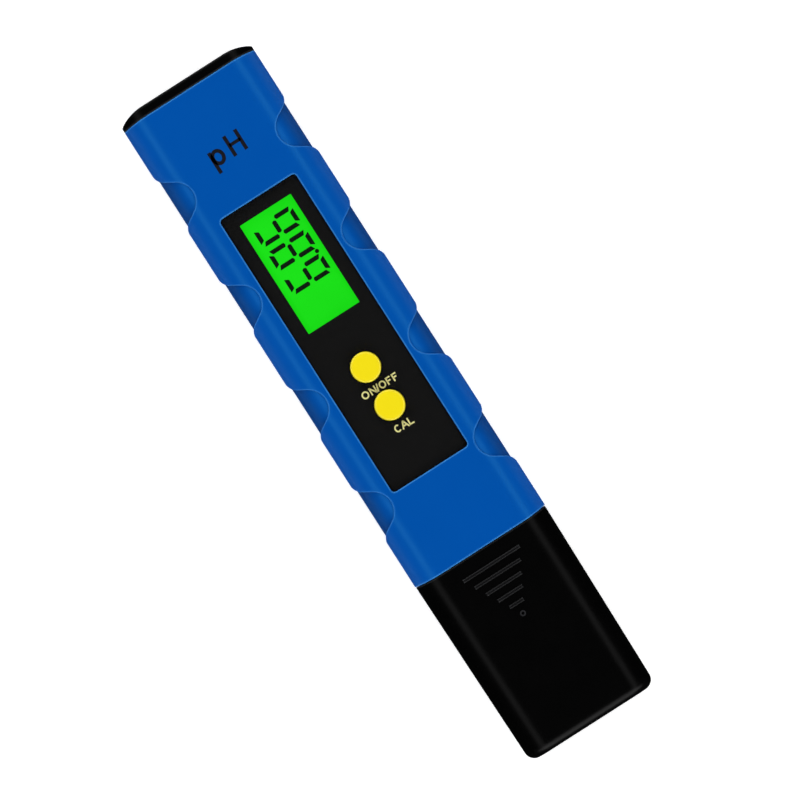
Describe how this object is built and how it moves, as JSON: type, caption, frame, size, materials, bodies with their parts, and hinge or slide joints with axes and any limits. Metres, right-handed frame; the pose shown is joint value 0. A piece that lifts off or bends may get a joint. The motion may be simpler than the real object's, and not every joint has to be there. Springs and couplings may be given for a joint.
{
  "type": "pen-type ph meter",
  "caption": "Pocket pen-type pH meter with a numeric display, push buttons, a glass electrode under a pull-off storage cap and a slide-out battery drawer.",
  "frame": {"origin": "middle of the flat back face, with the pen lying on its back", "axes": "+X along the pen towards the battery cap, -X towards the storage cap and probe; +Z out of the display face; Y across the pen, so the display reads upright from -Y"},
  "size_m": [0.1504, 0.0304, 0.015],
  "materials": {
    "shell_blue": "moulded ABS, satin, fine texture",
    "cap_black": "moulded polypropylene, semi-gloss",
    "battery_cap_black": "moulded ABS, semi-gloss",
    "clear_lens": "clear acrylic sheet, polished",
    "mask_black": "black screen print, satin",
    "button_yellow": "silicone rubber, satin",
    "inner_black": "moulded plastic, matt",
    "foam_black": "closed-cell foam",
    "seal_rubber": "silicone rubber O-ring",
    "lcd_glass": "float glass with clear electrodes",
    "polariser": "polarising film, satin",
    "backlight_green": "translucent green light guide, glowing",
    "led_body": "cast epoxy",
    "zebra_rubber": "striped conductive silicone",
    "board_green": "glass-epoxy with green solder mask",
    "chip_black": "epoxy moulding compound",
    "crystal_can": "nickel-plated steel",
    "component_tan": "ceramic with tinned ends",
    "screw_steel": "zinc-plated steel",
    "switch_metal": "tinned brass legs",
    "contact_metal": "nickel-plated phosphor bronze",
    "cell_steel": "nickel-plated steel can",
    "probe_grey": "moulded ABS, matt",
    "potting_black": "cast epoxy",
    "electrode_clear": "smoky clear polycarbonate",
    "probe_glass": "pH-sensitive glass, polished",
    "silver": "silver wire coated with silver chloride",
    "junction_white": "porous ceramic",
    "stainless": "drawn stainless steel",
    "bead_black": "epoxy-dipped bead",
    "lead_jacket": "PVC-insulated wire",
    "sponge": "open-cell cellulose sponge"
  },
  "bodies": {
    "instrument": {"front_shell": "shell_blue", "rear_shell": "shell_blue", "display_lens": "clear_lens", "lens_mask": "mask_black", "display_gasket": "foam_black", "lcd_front_polariser": "polariser", "lcd_front_glass": "lcd_glass", "lcd_rear_glass": "lcd_glass", "lcd_rear_polariser": "polariser", "backlight_panel": "backlight_green", "backlight_leds": "led_body", "display_frame": "inner_black", "zebra_strip_left": "zebra_rubber", "zebra_strip_right": "zebra_rubber", "power_switch_housing": "inner_black", "cal_switch_housing": "inner_black", "switch_legs": "switch_metal", "circuit_board": "board_green", "microcontroller": "chip_black", "input_amplifier": "chip_black", "crystal": "crystal_can", "board_components": "component_tan", "board_screws": "screw_steel", "battery_holder": "inner_black", "battery_link_spring": "contact_metal", "battery_terminal_positive": "contact_metal", "battery_terminal_negative": "contact_metal", "probe_neck": "probe_grey", "neck_seal": "seal_rubber", "probe_potting": "potting_black", "electrode_tube": "electrode_clear", "reference_junction": "junction_white", "glass_electrode": "probe_glass", "silver_wire": "silver", "electrode_plug": "seal_rubber", "temperature_probe": "stainless", "thermistor_bead": "bead_black", "electrode_lead": "lead_jacket", "sensor_lead": "lead_jacket"},
    "storage_cap": {"storage_cap": "cap_black", "cap_sponge": "sponge"},
    "battery_drawer": {"battery_cap": "battery_cap_black", "battery_cap_seal": "seal_rubber", "battery_tray": "inner_black", "button_cell_left": "cell_steel", "button_cell_right": "cell_steel"},
    "power_button": {"power_button": "button_yellow", "power_switch_plunger": "inner_black"},
    "cal_button": {"cal_button": "button_yellow", "cal_switch_plunger": "inner_black"}
  },
  "joints": [
    {"name": "storage_cap_pull", "type": "slide", "parent": "instrument", "child": "storage_cap", "axis": [-1, 0, 0], "range_m": [0, 0.05]},
    {"name": "battery_drawer_pull", "type": "slide", "parent": "instrument", "child": "battery_drawer", "axis": [1, 0, 0], "range_m": [0, 0.022]},
    {"name": "power_button_press", "type": "slide", "parent": "instrument", "child": "power_button", "axis": [0, 0, -1], "range_m": [0, 0.0004], "stiffness_N_per_m": 3000},
    {"name": "cal_button_press", "type": "slide", "parent": "instrument", "child": "cal_button", "axis": [0, 0, -1], "range_m": [0, 0.0004], "stiffness_N_per_m": 3000}
  ]
}
